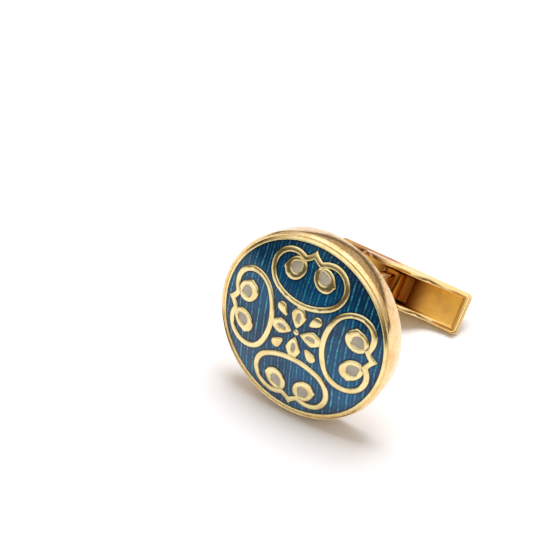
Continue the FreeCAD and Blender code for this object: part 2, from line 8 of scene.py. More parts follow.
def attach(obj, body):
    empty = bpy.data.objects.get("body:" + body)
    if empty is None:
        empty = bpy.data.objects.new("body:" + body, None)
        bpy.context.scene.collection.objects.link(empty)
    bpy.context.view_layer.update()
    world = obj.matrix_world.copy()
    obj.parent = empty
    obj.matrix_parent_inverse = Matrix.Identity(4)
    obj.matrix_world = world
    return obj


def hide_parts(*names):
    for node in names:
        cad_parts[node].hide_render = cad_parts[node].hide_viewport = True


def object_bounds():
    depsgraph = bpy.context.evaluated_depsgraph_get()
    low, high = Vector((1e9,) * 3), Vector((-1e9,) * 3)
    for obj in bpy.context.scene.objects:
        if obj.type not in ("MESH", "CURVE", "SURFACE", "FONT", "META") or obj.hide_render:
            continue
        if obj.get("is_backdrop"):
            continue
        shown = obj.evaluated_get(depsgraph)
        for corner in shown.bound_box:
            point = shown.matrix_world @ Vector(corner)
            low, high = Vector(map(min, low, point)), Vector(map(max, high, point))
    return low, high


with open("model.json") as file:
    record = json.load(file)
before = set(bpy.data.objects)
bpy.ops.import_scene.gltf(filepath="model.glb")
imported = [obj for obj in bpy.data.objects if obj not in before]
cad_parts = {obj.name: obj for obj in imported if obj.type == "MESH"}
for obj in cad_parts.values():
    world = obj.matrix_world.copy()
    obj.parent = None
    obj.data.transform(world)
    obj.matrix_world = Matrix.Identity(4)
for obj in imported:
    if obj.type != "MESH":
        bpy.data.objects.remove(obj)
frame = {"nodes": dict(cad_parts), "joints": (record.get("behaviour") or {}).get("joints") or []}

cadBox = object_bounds()
nodes = frame["nodes"]
sides = ["north", "west", "south", "east"]
mm = 0.001
nearby = 0.01  # millimetres, for picking edges by their place
scene = bpy.context.scene
scene.view_settings.view_transform = "Standard"

# The head's frame sits in the middle of the enamel's edge, z out of the face; the hinge's frame sits on
# the pin, y along it. Both come from the hinge joint. Pieces are modelled there in millimetres.
stemLine = {"reach": 14.2, "straight": 7.5, "bend": 27.0, "headDepth": 2.6}
hingeJoint = frame["joints"][0]
hingePoint = Vector(hingeJoint["pos_m"])
hingeTurn = math.atan2(hingeJoint["axis"][2], hingeJoint["axis"][1])
stemBend = math.radians(stemLine["bend"])
stemRadius = (stemLine["reach"] - stemLine["straight"]) / math.sin(stemBend)
headTurn = hingeTurn + stemBend
headRotation = Matrix.Rotation(headTurn, 4, "X")
headBack = -stemLine["headDepth"]
stemDrop = Vector((0, -stemRadius * (1 - math.cos(stemBend)), headBack - stemLine["reach"]))
headPoint = hingePoint - headRotation @ (stemDrop * mm)
headPlace = Matrix.Translation(headPoint) @ headRotation @ Matrix.Scale(mm, 4)
hingePlace = Matrix.Translation(hingePoint) @ Matrix.Rotation(hingeTurn, 4, "X") @ Matrix.Scale(mm, 4)
print("frame loaded,", len(nodes), "nodes")


# Modelling helpers
def deselectAll():
    bpy.ops.object.select_all(action="DESELECT")


def startEdit(piece):
    bpy.context.view_layer.objects.active = piece
    bpy.ops.object.mode_set(mode="EDIT")
    bpy.ops.mesh.select_all(action="SELECT")


def endEdit():
    bpy.ops.object.mode_set(mode="OBJECT")


def cleanMesh(gap=0.0005):
    # in edit mode: close the seams, then point every face outwards
    bpy.ops.mesh.select_all(action="SELECT")
    bpy.ops.mesh.remove_doubles(threshold=gap)
    bpy.ops.mesh.normals_make_consistent(inside=False)


def selectOpenEdges():
    # in edit mode
    bpy.ops.mesh.select_mode(type="EDGE")
    bpy.ops.mesh.select_all(action="DESELECT")
    bpy.ops.mesh.select_non_manifold()


def selectEdges(piece, wanted):
    # in edit mode: keep only the edges that wanted() picks by their middle and direction
    bpy.ops.mesh.select_all(action="DESELECT")
    endEdit()
    mesh = piece.data
    for edge in mesh.edges:
        first, second = (mesh.vertices[index].co for index in edge.vertices)
        edge.select = wanted((first + second) / 2, second - first)
    bpy.ops.object.mode_set(mode="EDIT")
    bpy.ops.mesh.select_mode(type="EDGE")


def upright(along):
    return abs(along.z) > abs(along.x) + abs(along.y)


def drawOut(move):
    # in edit mode: draw the selected edges or faces out to a new place
    bpy.ops.mesh.extrude_region_move(TRANSFORM_OT_translate={"value": move})


def applyModifier(piece, kind, **settings):
    bpy.context.view_layer.objects.active = piece
    modifier = piece.modifiers.new(kind.title(), kind)
    for key, value in settings.items():
        setattr(modifier, key, value)
    bpy.ops.object.modifier_apply(modifier=modifier.name)


def roundEdges(piece, width, steps, angle=40):
    applyModifier(piece, "BEVEL", width=width, segments=steps, limit_method="ANGLE",
                  angle_limit=math.radians(angle), harden_normals=False)


def startSheet(name, length, width, height):
    # a new flat sheet in edit mode, to draw a piece out of
    deselectAll()
    bpy.ops.mesh.primitive_plane_add(size=1, location=(0, 0, 0))
    piece = bpy.context.object
    piece.name = name
    startEdit(piece)
    bpy.ops.transform.resize(value=(length, width, 1), center_override=(0, 0, 0))
    bpy.ops.transform.translate(value=(0, 0, height))
    return piece


def addRod(name, radius, length, facets):
    # a round rod along y
    deselectAll()
    bpy.ops.mesh.primitive_cylinder_add(vertices=facets, radius=radius, depth=length,
                                        rotation=(math.pi / 2, 0, 0), location=(0, 0, 0))
    rod = bpy.context.object
    rod.name = name
    bpy.ops.object.transform_apply(location=True, rotation=True, scale=True)
    return rod


def turnProfile(name, profile, segments):
    # a round body, drawn ring by ring from a profile of (radius, height)
    deselectAll()
    radius, height = profile[0]
    bpy.ops.mesh.primitive_circle_add(vertices=segments, radius=radius, fill_type="NOTHING",
                                      location=(0, 0, 0))
    piece = bpy.context.object
    piece.name = name
    startEdit(piece)
    bpy.ops.transform.translate(value=(0, 0, height))
    for nextRadius, nextHeight in profile[1:]:
        drawOut((0, 0, nextHeight - height))
        if nextRadius == 0:
            bpy.ops.mesh.merge(type="CENTER")
            break
        ratio = nextRadius / radius
        bpy.ops.transform.resize(value=(ratio, ratio, 1), center_override=(0, 0, nextHeight))
        radius, height = nextRadius, nextHeight
    cleanMesh()
    endEdit()
    return piece


def closeEnds(piece):
    startEdit(piece)
    selectOpenEdges()
    bpy.ops.mesh.edge_face_add()
    cleanMesh()
    endEdit()


def joinPieces(piece, added):
    deselectAll()
    added.select_set(True)
    piece.select_set(True)
    bpy.context.view_layer.objects.active = piece
    bpy.ops.object.join()


def setDown(piece, place, smoothAngle=35):
    # put a finished piece in its place, with the place in its mesh
    deselectAll()
    piece.select_set(True)
    bpy.context.view_layer.objects.active = piece
    piece.matrix_world = place
    bpy.ops.object.transform_apply(location=True, rotation=True, scale=True)
    bpy.ops.object.shade_smooth_by_angle(angle=math.radians(smoothAngle))


def finishPiece(piece, body, slot, material, *stoodFor):
    piece.data.materials.clear()
    piece.data.materials.append(material)
    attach(piece, body)
    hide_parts(*stoodFor)


# Shader helpers
class Value:
    # a socket that takes part in sums: each sum adds its Math node
    def __init__(self, paint, socket):
        self.paint = paint
        self.socket = socket

    def sum(self, operation, *values):
        inputs = dict(enumerate(values))
        return self.paint.node("Math", {"operation": operation}, inputs)

    def __add__(self, other):
        return self.sum("ADD", self, other)

    def __radd__(self, other):
        return self.sum("ADD", other, self)

    def __sub__(self, other):
        return self.sum("SUBTRACT", self, other)

    def __rsub__(self, other):
        return self.sum("SUBTRACT", other, self)

    def __mul__(self, other):
        return self.sum("MULTIPLY", self, other)

    def __truediv__(self, other):
        return self.sum("DIVIDE", self, other)

    def __pow__(self, other):
        return self.sum("POWER", self, other)

    def __abs__(self):
        return self.sum("ABSOLUTE", self)

    def __round__(self):
        return self.sum("ROUND", self)

    def level(self, base, gain):
        return self * gain + base

    def between(self, low, high):
        # 0 below low, 1 above high and a smooth step between them
        settings = {"interpolation_type": "SMOOTHSTEP"}
        return self.paint.node("MapRange", settings, {0: self, 1: low, 2: high, 3: 0.0, 4: 1.0})


class Nodes:
    # one node tree, built from nothing
    def __init__(self, tree):
        self.tree = tree
        tree.nodes.clear()

    def node(self, kind, settings=None, inputs=None, result=0):
        made = self.tree.nodes.new("ShaderNode" + kind)
        for key, value in (settings or {}).items():
            setattr(made, key, value)
        for key, value in (inputs or {}).items():
            self.feed(made.inputs[key], value)
        return Value(self, made.outputs[result]) if made.outputs else made

    def feed(self, socket, value):
        if isinstance(value, Value):
            self.tree.links.new(value.socket, socket)
        else:
            socket.default_value = value

    def axes(self, vector):
        split = self.node("SeparateXYZ", None, {0: vector})
        return [Value(self, part) for part in split.socket.node.outputs]

    def stretch(self, vector, factors):
        return self.node("VectorMath", {"operation": "MULTIPLY"}, {0: vector, 1: factors})

    def noise(self, vector, scale, detail=2.0):
        inputs = {"Vector": vector, "Scale": scale, "Detail": detail}
        return self.node("TexNoise", {"noise_dimensions": "3D"}, inputs)

    def mix(self, factor, first, second):
        # the colour sockets of a Mix node go by number
        return self.node("Mix", {"data_type": "RGBA"}, {0: factor, 6: first, 7: second}, 2)

    def bump(self, height, strength, distance, soft=0.0):
        # soft rounds the edges of the shape that the bump lies on, in millimetres
        inputs = {"Height": height, "Strength": strength, "Distance": distance * mm}
        if soft:
            inputs["Normal"] = self.node("Bevel", {"samples": 6}, {"Radius": soft * mm})
        return self.node("Bump", None, inputs)


class Paint(Nodes):
    # a material with one Principled skin
    def __init__(self, name):
        self.material = bpy.data.materials.new(name)
        self.material.use_nodes = True
        super().__init__(self.material.node_tree)
        self.skin = self.tree.nodes.new("ShaderNodeBsdfPrincipled")
        self.node("OutputMaterial", None, {"Surface": Value(self, self.skin.outputs[0])})

    def dress(self, inputs):
        for key, value in inputs.items():
            self.feed(self.skin.inputs[key], value)
        return self.material

    def place(self, point, turn):
        # Object coordinates in millimetres, in a piece's own frame
        coordinates = self.node("TexCoord", result="Object")
        settings = {"vector_type": "TEXTURE"}
        inputs = {"Vector": coordinates, "Location": point, "Rotation": (turn, 0, 0), "Scale": (mm, mm, mm)}
        return self.node("Mapping", settings, inputs)


def colour(red, green, blue):
    # a colour named by its screen values, 0 to 255
    def linear(level):
        share = level / 255
        return share / 12.92 if share <= 0.04045 else ((share + 0.055) / 1.055) ** 2.4
    return (linear(red), linear(green), linear(blue), 1.0)


# In the looks below, a Step is where a pattern starts and where it is full, a Level its least value and its
# gain, and bump its strength and depth.

# Polished gilding: warm gold with faint clouds, a soft unevenness, wiping marks and a few tiny pits; the
# brown is for painted shade
giltLook = {"clean": colour(252, 224, 172), "worn": colour(226, 172, 90), "browning": colour(160, 96, 26),
            "rough": 0.1, "mirrorRough": 0.08, "bump": (0.4, 0.03),
            "cloudScale": 0.55, "cloudStep": (0.42, 0.72), "cloudWear": 0.45, "cloudHeight": 2.4,
            "dullStep": (0.45, 0.75), "dullRough": 0.06,
            "mottleScale": 3.6, "mottleStep": (0.4, 0.66), "mottleWear": 0.28,
            "markScale": 9.0, "markStretch": (0.6, 0.6, 6.0), "markHeight": 0.1, "markRough": 0.1,
            "peelScale": 1.9, "peelHeight": 0.5,
            "pitScale": 0.8, "pitStep": (0.03, 0.06), "pitWear": 0.25, "pitDepth": 0.25}


def makeGilt(name, point, turn, browning=None, rough=giltLook["rough"]):
    # the function passed in gives, for a place, how far the gold is browned there as painted shade
    look = giltLook
    paint = Paint(name)
    place = paint.place(point, turn)
    clouds = paint.noise(place, look["cloudScale"], detail=3.0)
    marks = paint.noise(paint.stretch(place, look["markStretch"]), look["markScale"], detail=4.0)
    peel = paint.noise(place, look["peelScale"])
    pits = paint.node("TexVoronoi", None, {"Vector": place, "Scale": look["pitScale"]})
    pitMask = 1 - pits.between(*look["pitStep"])
    mottle = paint.noise(place, look["mottleScale"], detail=3.0).between(*look["mottleStep"])
    worn = clouds.between(*look["cloudStep"]) * look["cloudWear"]
    worn = worn + mottle * look["mottleWear"] + pitMask * look["pitWear"]
    gold = paint.mix(worn, look["clean"], look["worn"])
    if browning:
        x, y, z = paint.axes(place)
        gold = paint.mix(browning(x, y, z, mottle), gold, look["browning"])
    height = marks * look["markHeight"] + clouds * look["cloudHeight"] + peel * look["peelHeight"]
    dull = clouds.between(*look["dullStep"]) * look["dullRough"]
    return paint.dress({
        "Base Color": gold,
        "Metallic": 1.0,
        "Roughness": rough + (marks - 0.5) * look["markRough"] + dull,
        "Normal": paint.bump(height - pitMask * look["pitDepth"], *look["bump"]),
    })


# Painted shade on the gilding, by its places in the head's or the hinge's frame
paintedShadeLook = {"upStep": (2.0, 7.5), "faceStep": (-0.6, -0.2), "rimShadeLevel": (0.2, 0.25),
             "stemShadeStep": (2.2, 4.5)}


def paintedRimShade(x, y, z, mottle):
    # painted dark reflection: the rim's side band is browned, in mottles, on its upper part
    side = 1 - z.between(*paintedShadeLook["faceStep"])
    return y.between(*paintedShadeLook["upStep"]) * side * mottle.level(*paintedShadeLook["rimShadeLevel"])


def paintedStemShade(x, y, z, mottle):
    # painted shade: the stem is browned round the pin, inside the toggle
    return 1 - ((x * x + z * z) ** 0.5).between(*paintedShadeLook["stemShadeStep"])


# Toggle: bright rims, and a satin tray of deeper orange, partly painted reflection of its walls, that
# deepens to brown towards the hinge as painted shade; the far wall's left half is browned as painted
# reflection
trayLook = {"rim": colour(250, 216, 150), "tray": colour(255, 208, 100), "hinge": colour(132, 66, 14),
            "wallReflectionBrown": colour(186, 130, 74), "rimRough": 0.14, "trayRough": 0.4, "bump": (0.3, 0.02),
            "halfWidth": 1.58, "halfLength": 7.1, "edge": 0.02, "cloudScale": 0.5, "trayLevel": (0.6, 0.5),
            "markScale": 3.0, "markStretch": (0.5, 5.0, 5.0), "markHeight": 0.2, "markRough": 0.06,
            "hingeStep": (1.6, 4.0), "hingeLevel": (0.7, 0.5),
            "wallReflectionStepX": (-1.6, 0.2), "wallReflectionStepY": (0.6, 1.4), "wallReflectionLevel": (0.5, 0.8),
            "patchScale": 0.7, "patchStep": (0.4, 0.75), "patchBrown": 0.2}


def makeTrayGilt():
    look = trayLook
    paint = Paint("toggleGilt")
    place = paint.place(hingePoint, hingeTurn)
    x, y = paint.axes(place)[:2]
    clouds = paint.noise(place, look["cloudScale"], detail=3.0)
    marks = paint.noise(paint.stretch(place, look["markStretch"]), look["markScale"], detail=3.0)
    half, reach, edge = look["halfWidth"], look["halfLength"], look["edge"]
    within = 1 - abs(y).between(half - edge, half + 2 * edge)
    within = within * (1 - abs(x).between(reach - edge, reach + 2 * edge))
    # painted shade: the tray browns towards the hinge, where the head and the stem shade it
    paintedTrayShade = within * (1 - abs(x).between(*look["hingeStep"])) * clouds.level(*look["hingeLevel"])
    # painted reflection: the far wall's left half, outside the tray, is browned as if it mirrored dark
    # surroundings
    leftWall = (1 - x.between(*look["wallReflectionStepX"])) * y.between(*look["wallReflectionStepY"])
    paintedWallReflection = (1 - within) * leftWall * clouds.level(*look["wallReflectionLevel"])
    # the tray's satin gold, a deeper orange than the rims', partly painted reflection from its walls
    gold = paint.mix(within * clouds.level(*look["trayLevel"]), look["rim"], look["tray"])
    gold = paint.mix(paintedWallReflection, gold, look["wallReflectionBrown"])
    patches = within * paint.noise(place, look["patchScale"]).between(*look["patchStep"])
    satin = within * (look["trayRough"] - look["rimRough"])
    return paint.dress({
        "Base Color": paint.mix(paintedTrayShade + patches * look["patchBrown"], gold, look["hinge"]),
        "Metallic": 1.0,
        "Roughness": look["rimRough"] + satin + marks * look["markRough"],
        "Normal": paint.bump(marks * look["markHeight"] + clouds, *look["bump"]),
    })


# Pale gold of the cloisons: flat, honed and a little uneven
cloisonLook = {"clean": colour(248, 231, 172), "worn": colour(220, 187, 112), "rough": 0.13, "soft": 0.27,
               "cloudScale": 0.9, "cloudStep": (0.42, 0.75), "wear": 0.6, "bump": (0.3, 0.015),
               "grainScale": 14.0, "grainHeight": 0.4, "grainRough": 0.16}


def makeCloisonGold():
    look = cloisonLook
    paint = Paint("cloisonGold")
    place = paint.place(headPoint, headTurn)
    clouds = paint.noise(place, look["cloudScale"], detail=3.0)
    grain = paint.noise(place, look["grainScale"], detail=3.0)
    worn = clouds.between(*look["cloudStep"]) * look["wear"]
    return paint.dress({
        "Base Color": paint.mix(worn, look["clean"], look["worn"]),
        "Metallic": 1.0,
        "Roughness": look["rough"] + (grain - 0.5) * look["grainRough"],
        "Normal": paint.bump(grain * look["grainHeight"] + clouds, *look["bump"], look["soft"]),
    })


# Blue enamel: engine-turned lines shine through as wavy, broken teal streaks under a clear gloss; painted
# shade darkens it along the gold lines
enamelLook = {"deep": colour(1, 38, 80), "middle": colour(4, 92, 142), "streak": colour(96, 214, 226),
              "navy": colour(2, 12, 30), "pitch": 0.76, "between": 0.25, "lineStep": (0.01, 0.14),
              "lotLevel": (0.5, 0.5), "layer": 9,
              "dashScale": (3.7, 0.9), "dashStep": (0.28, 0.66), "dashLevel": (0.2, 0.8),
              "beadScale": (5.1, 4.6), "beadStep": (0.36, 0.6), "beadLevel": (0.25, 0.75),
              "swayScale": 0.35, "sway": 0.5,
              "cloudScale": 0.22, "cloudStep": (0.3, 0.72), "cloudLevel": (0.1, 0.75),
              "wireShade": 0.3, "wireShadeStep": (0.78, 0.99), "wireShadeDark": 0.9,
              "metal": 0.5, "rough": 0.42, "lineRough": 0.12, "bump": (0.25, 0.03),
              "gloss": 0.04, "glossIor": 1.45}


def makeStreaks(paint, turns, y, shift):
    # broken lines, one to each whole turn; each has its own brightness
    look = enamelLook
    moved = turns + shift
    line = round(moved)
    core = 1 - abs(moved - line).between(*look["lineStep"])
    lot = paint.node("TexWhiteNoise", {"noise_dimensions": "1D"}, {"W": line + shift})

    def pattern(kind, detail):
        across, along = look[kind + "Scale"]
        spot = paint.node("CombineXYZ", None, {0: line * across, 1: y * along, 2: shift * look["layer"]})
        noise = paint.noise(spot, 1.0, detail)
        return noise.between(*look[kind + "Step"]).level(*look[kind + "Level"])

    return core * pattern("dash", 3.0) * lot.level(*look["lotLevel"]) * pattern("bead", 1.0)


def makeEnamel():
    look = enamelLook
    paint = Paint("blueEnamel")
    place = paint.place(headPoint, headTurn)
    x, y = paint.axes(place)[:2]
    sway = paint.noise(place, look["swayScale"]) - 0.5
    turns = (x + sway * look["sway"]) / look["pitch"]
    streak = makeStreaks(paint, turns, y, 0.0) + makeStreaks(paint, turns, y, 0.5) * look["between"]
    clouds = paint.noise(place, look["cloudScale"]).between(*look["cloudStep"])
    ground = paint.mix(clouds.level(*look["cloudLevel"]), look["deep"], look["middle"])
    # painted shade: the enamel is darkened to navy where the gold lines shut it in
    openness = paint.node("AmbientOcclusion", {"samples": 8}, {"Distance": look["wireShade"] * mm}, "AO")
    wireShade = 1 - openness.between(*look["wireShadeStep"])
    lined = paint.mix(streak * (1 - wireShade), ground, look["streak"])
    return paint.dress({
        "Base Color": paint.mix(wireShade * look["wireShadeDark"], lined, look["navy"]),
        "Metallic": look["metal"],
        "Roughness": look["rough"] - streak * look["lineRough"],
        "Specular IOR Level": 0.0,
        "Normal": paint.bump(streak, *look["bump"]),
        "Coat Weight": 1.0,
        "Coat Roughness": look["gloss"],
        "Coat IOR": look["glossIor"],
    })


# Grey-beige enamel of the inlays: opaque, slightly cloudy
inlayLook = {"pale": colour(200, 192, 174), "dim": colour(178, 168, 150), "cloudScale": 0.9,
             "cloudStep": (0.3, 0.75), "roughLevel": (0.35, 0.1), "bump": (0.1, 0.01),
             "coat": 0.6, "coatRough": 0.12}


def makeInlay():
    look = inlayLook
    paint = Paint("greyEnamel")
    clouds = paint.noise(paint.place(headPoint, headTurn), look["cloudScale"])
    return paint.dress({
        "Base Color": paint.mix(clouds.between(*look["cloudStep"]), look["pale"], look["dim"]),
        "Roughness": clouds.level(*look["roughLevel"]),
        "Normal": paint.bump(clouds, *look["bump"]),
        "Coat Weight": look["coat"],
        "Coat Roughness": look["coatRough"],
    })


# Engine-turned ground plate under the enamel, with its fine parallel cuts
groundLook = {"ridge": colour(232, 196, 128), "cut": colour(150, 112, 58), "pitch": enamelLook["pitch"],
              "cutStep": (0.1, 0.4), "roughLevel": (0.3, 0.15), "bump": (0.5, 0.05)}


def makeGround():
    look = groundLook
    paint = Paint("engineTurnedGold")
    x = paint.axes(paint.place(headPoint, headTurn))[0]
    turns = x / look["pitch"]
    cut = 1 - abs(turns - round(turns)).between(*look["cutStep"])
    return paint.dress({
        "Base Color": paint.mix(cut, look["ridge"], look["cut"]),
        "Metallic": 1.0,
        "Roughness": cut.level(*look["roughLevel"]),
        "Normal": paint.bump(1 - cut, *look["bump"]),
    })


# Gilded spring strip, a deep gold partly darkened as painted reflection, with lengthways rolling marks and
# ends browned as painted shade
springLook = {"bright": colour(206, 126, 40), "browning": colour(104, 50, 12), "markScale": 3.0,
              "markStretch": (0.5, 8.0, 1.0), "markStep": (0.4, 0.8), "markStain": 0.2,
              "endStep": (0.5, 1.3), "endShade": 0.8, "roughLevel": (0.25, 0.15), "bump": (0.2, 0.02)}


def makeSpring():
    look = springLook
    paint = Paint("springGilt")
    place = paint.place(hingePoint, hingeTurn)
    x = paint.axes(place)[0]
    marks = paint.noise(paint.stretch(place, look["markStretch"]), look["markScale"], detail=3.0)
    markedAndShaded = marks.between(*look["markStep"]) * look["markStain"]
    # painted shade: the spring's ends are browned
    markedAndShaded = markedAndShaded + abs(x).between(*look["endStep"]) * look["endShade"]
    return paint.dress({
        "Base Color": paint.mix(markedAndShaded, look["bright"], look["browning"]),
        "Metallic": 1.0,
        "Roughness": marks.level(*look["roughLevel"]),
        "Normal": paint.bump(marks, *look["bump"]),
    })


headGilt = makeGilt("headGilt", headPoint, headTurn, paintedRimShade)
backGilt = makeGilt("backGilt", headPoint, headTurn, rough=giltLook["mirrorRough"])
stemGilt = makeGilt("stemGilt", hingePoint, hingeTurn, paintedStemShade)
toggleGilt = makeTrayGilt()
cloisonGold = makeCloisonGold()
blueEnamel = makeEnamel()
greyEnamel = makeInlay()
engineTurnedGold = makeGround()
springGilt = makeSpring()
print("materials mixed")

# Rim: a crest over a shallow groove inside it, rounded shoulder, tapered side band, crisp back edge
rim = {"bore": 9.14, "backRadius": 9.2, "backBore": 8.75, "backSeat": -1.9, "ledgeBore": 8.62,
       "faceSeat": -1.2, "edge": 0.05, "edgeSteps": 3, "sliver": 0.001, "segments": 200,
       "crest": [(9.14, -0.1), (9.22, -0.1), (9.28, -0.06), (9.32, -0.03), (9.355, -0.05), (9.39, -0.13),
                 (9.42, -0.23), (9.45, -0.34), (9.475, -0.43), (9.49, -0.5), (9.5, -0.58)]}


def makeRim():
    profile = list(rim["crest"])
    profile += [(rim["backRadius"], headBack), (rim["backBore"], headBack),
                (rim["backBore"], rim["backSeat"]), (rim["ledgeBore"], rim["backSeat"]),
                (rim["ledgeBore"], rim["faceSeat"]), (rim["bore"], rim["faceSeat"]), profile[0]]
    piece = turnProfile("rim", profile, rim["segments"])
    roundEdges(piece, rim["edge"], rim["edgeSteps"])
    startEdit(piece)
    bpy.ops.mesh.dissolve_degenerate(threshold=rim["sliver"])
    cleanMesh()
    endEdit()
    setDown(piece, headPlace)
    finishPiece(piece, "head", "gilt_metal", headGilt, "bezel_rim")


# Back plate: flat mirror disc with a softened edge
backPlate = {"radius": 8.73, "thickness": 0.7, "edge": 0.08, "segments": 160, "smooth": 20}


def makeBackPlate():
    inner = headBack + backPlate["thickness"]
    radius, edge = backPlate["radius"], backPlate["edge"]
    profile = [(radius - 2 * edge, inner), (radius, inner), (radius, headBack + edge),
               (radius - edge / 3, headBack + edge / 3), (radius - edge, headBack)]
    piece = turnProfile("backPlate", profile, backPlate["segments"])
    closeEnds(piece)
    setDown(piece, headPlace, backPlate["smooth"])
    finishPiece(piece, "head", "gilt_mirror", backGilt, "back_plate")


# Border ring: thin gold edge that holds the enamel, falling to the rim's groove
border = {"inner": 8.8, "segments": 200, "smooth": 50,
          "section": [(8.8, -0.4), (8.8, 0.04), (8.82, 0.08), (8.86, 0.1), (8.91, 0.1), (8.95, 0.07),
                      (8.99, 0.0), (9.05, -0.05), (9.145, -0.09), (9.145, -0.4)]}


def makeBorder():
    section = border["section"]
    piece = turnProfile("borderRing", section + section[:1], border["segments"])
    setDown(piece, headPlace, border["smooth"])
    finishPiece(piece, "head", "cloison_gold", cloisonGold, "border_ring")


# Enamel: one smooth dome that fills the face between and inside the scrolls
dome = {"radius": 8.79, "height": 1.32, "depth": 0.3, "rings": 28, "segments": 160, "smooth": 60}
domeRadius = (border["inner"] ** 2 + dome["height"] ** 2) / (2 * dome["height"])


def domeLevel(radius):
    return math.sqrt(domeRadius ** 2 - radius ** 2) - domeRadius + dome["height"]


def makeEnamelDome():
    # from the underside's middle out to the edge, and back over the top
    radii = [dome["radius"] * (ring + 1) / dome["rings"] for ring in range(dome["rings"])]
    profile = [(radius, domeLevel(radius) - dome["depth"]) for radius in radii]
    profile += [(radius, domeLevel(radius)) for radius in reversed(radii)]
    profile.append((0, dome["height"]))
    piece = turnProfile("enamelDome", profile, dome["segments"])
    closeEnds(piece)
    setDown(piece, headPlace, dome["smooth"])
    cells = [f"enamel_cell_{side}" for side in sides]
    finishPiece(piece, "head", "blue_enamel", blueEnamel, "enamel_field", *cells)


# Cloisons: each solid with its hard edges broken
cloison = {"kinds": ["scroll_wire", "petal_wire", "drop_wire", "bud_wire_right", "bud_wire_left"],
           "weld": 0.001, "bevel": 0.07, "bevelSteps": 3, "bevelAngle": 50, "smooth": 40}


def makeCloison(node, name):
    deselectAll()
    piece = nodes[node].copy()
    piece.data = nodes[node].data.copy()
    piece.name = name
    piece.parent = None
    scene.collection.objects.link(piece)
    piece.select_set(True)
    startEdit(piece)
    bpy.ops.mesh.remove_doubles(threshold=cloison["weld"] * mm)
    endEdit()
    piece.matrix_world = Matrix.Identity(4)
    roundEdges(piece, cloison["bevel"] * mm, cloison["bevelSteps"], cloison["bevelAngle"])
    setDown(piece, Matrix.Identity(4), cloison["smooth"])
    finishPiece(piece, "head", "cloison_gold", cloisonGold, node)


makeRim()
makeBackPlate()
makeBorder()
makeEnamelDome()
for side in sides:
    for kind in cloison["kinds"]:
        makeCloison(f"{kind}_{side}", f"{kind}_{side}_worn")
makeCloison("centre_bead", "centreBead")
print("head modelled")

# Stem: a bar drawn along its bend, waisted, with rounded edges, and a knuckle round the pin
stem = {"thickness": 1.3, "rootHalf": 1.33, "waistHalf": 0.74, "footHalf": 1.58, "steps": 30,
        "edge": 0.26, "edgeSteps": 4, "knuckleRadius": 1.2, "knuckleWidth": 2.86, "knuckleEdge": 0.12,
        "knuckleEdgeSteps": 3, "knuckleFacets": 64}
arcLength = stemRadius * stemBend
stemLength = arcLength + stemLine["straight"]


def stemHalfWidth(share):
    # narrowest where the bend ends
    waist, waistAt = stem["waistHalf"], arcLength / stemLength
    if share < waistAt:
        return waist + (stem["rootHalf"] - waist) * (1 - share / waistAt) ** 2
    return waist + (stem["footHalf"] - waist) * ((share - waistAt) / (1 - waistAt)) ** 2


def stemMiddle(share):
    # the middle line from the pin upwards: an arc, then straight to the back; also its turn there
    along = share * stemLength
    angle = min(along / stemRadius, stemBend)
    onward = max(along - arcLength, 0)
    across = stemRadius * (math.cos(angle) - 1) - onward * math.sin(angle)
    return Vector((0, across, stemRadius * math.sin(angle) + onward * math.cos(angle))), angle


def makeStem():
    half = stemHalfWidth(0)
    piece = startSheet("stemBar", stem["thickness"], half * 2, 0)
    centre, angle = stemMiddle(0)
    for step in range(1, stem["steps"] + 1):
        share = step / stem["steps"]
        nextCentre, nextAngle = stemMiddle(share)
        nextHalf = stemHalfWidth(share)
        drawOut(nextCentre - centre)
        turn = angle - nextAngle  # with no window the operator turns the other way
        bpy.ops.transform.rotate(value=turn, orient_axis="X", center_override=nextCentre)
        widen = nextHalf / half
        bpy.ops.transform.resize(value=(1, widen, widen), center_override=nextCentre)
        centre, angle, half = nextCentre, nextAngle, nextHalf
    cleanMesh()
    endEdit()
    roundEdges(piece, stem["edge"], stem["edgeSteps"])
    knuckle = addRod("knuckle", stem["knuckleRadius"], stem["knuckleWidth"], stem["knuckleFacets"])
    roundEdges(knuckle, stem["knuckleEdge"], stem["knuckleEdgeSteps"])
    joinPieces(piece, knuckle)
    setDown(piece, hingePlace)
    finishPiece(piece, "head", "gilt_metal", stemGilt, "stem")


# Toggle: a whale-back tray, its walls raised row by row to the hump, on a base plate a little wider than it
toggle = {"length": 15.26, "width": 4.1, "bottom": -2.5, "endTop": -1.65, "humpTop": 1.2, "humpFlat": 1.6,
          "endFlat": 1.3, "wall": 0.5, "rows": 14, "corner": 0.4, "cornerSteps": 5, "edge": 0.13,
          "edgeSteps": 4, "edgeAngle": 32}
base = {"length": 15.5, "width": 4.4, "thickness": 0.3, "corner": 0.45, "cornerSteps": 6, "edge": 0.1,
        "edgeSteps": 3}


def bellHalfLength(share):
    # half the wall's length at a share of the hump's height: two arcs that run into each other
    foot, crest = toggle["length"] / 2 - toggle["endFlat"], toggle["humpFlat"] / 2
    run, rise = foot - crest, toggle["humpTop"] - toggle["endTop"]
    bend = (run * run + rise * rise) / (4 * rise)
    up = min(share, 1 - share) * rise
    out = math.sqrt(bend * bend - (bend - up) ** 2)
    return foot - out if share <= 0.5 else crest + out


def makeBase():
    plate = startSheet("base", base["length"], base["width"], toggle["bottom"])
    drawOut((0, 0, base["thickness"]))
    cleanMesh()
    selectEdges(plate, lambda middle, along: upright(along))
    bpy.ops.mesh.bevel(offset=base["corner"], segments=base["cornerSteps"])
    endEdit()
    roundEdges(plate, base["edge"], base["edgeSteps"])
    return plate


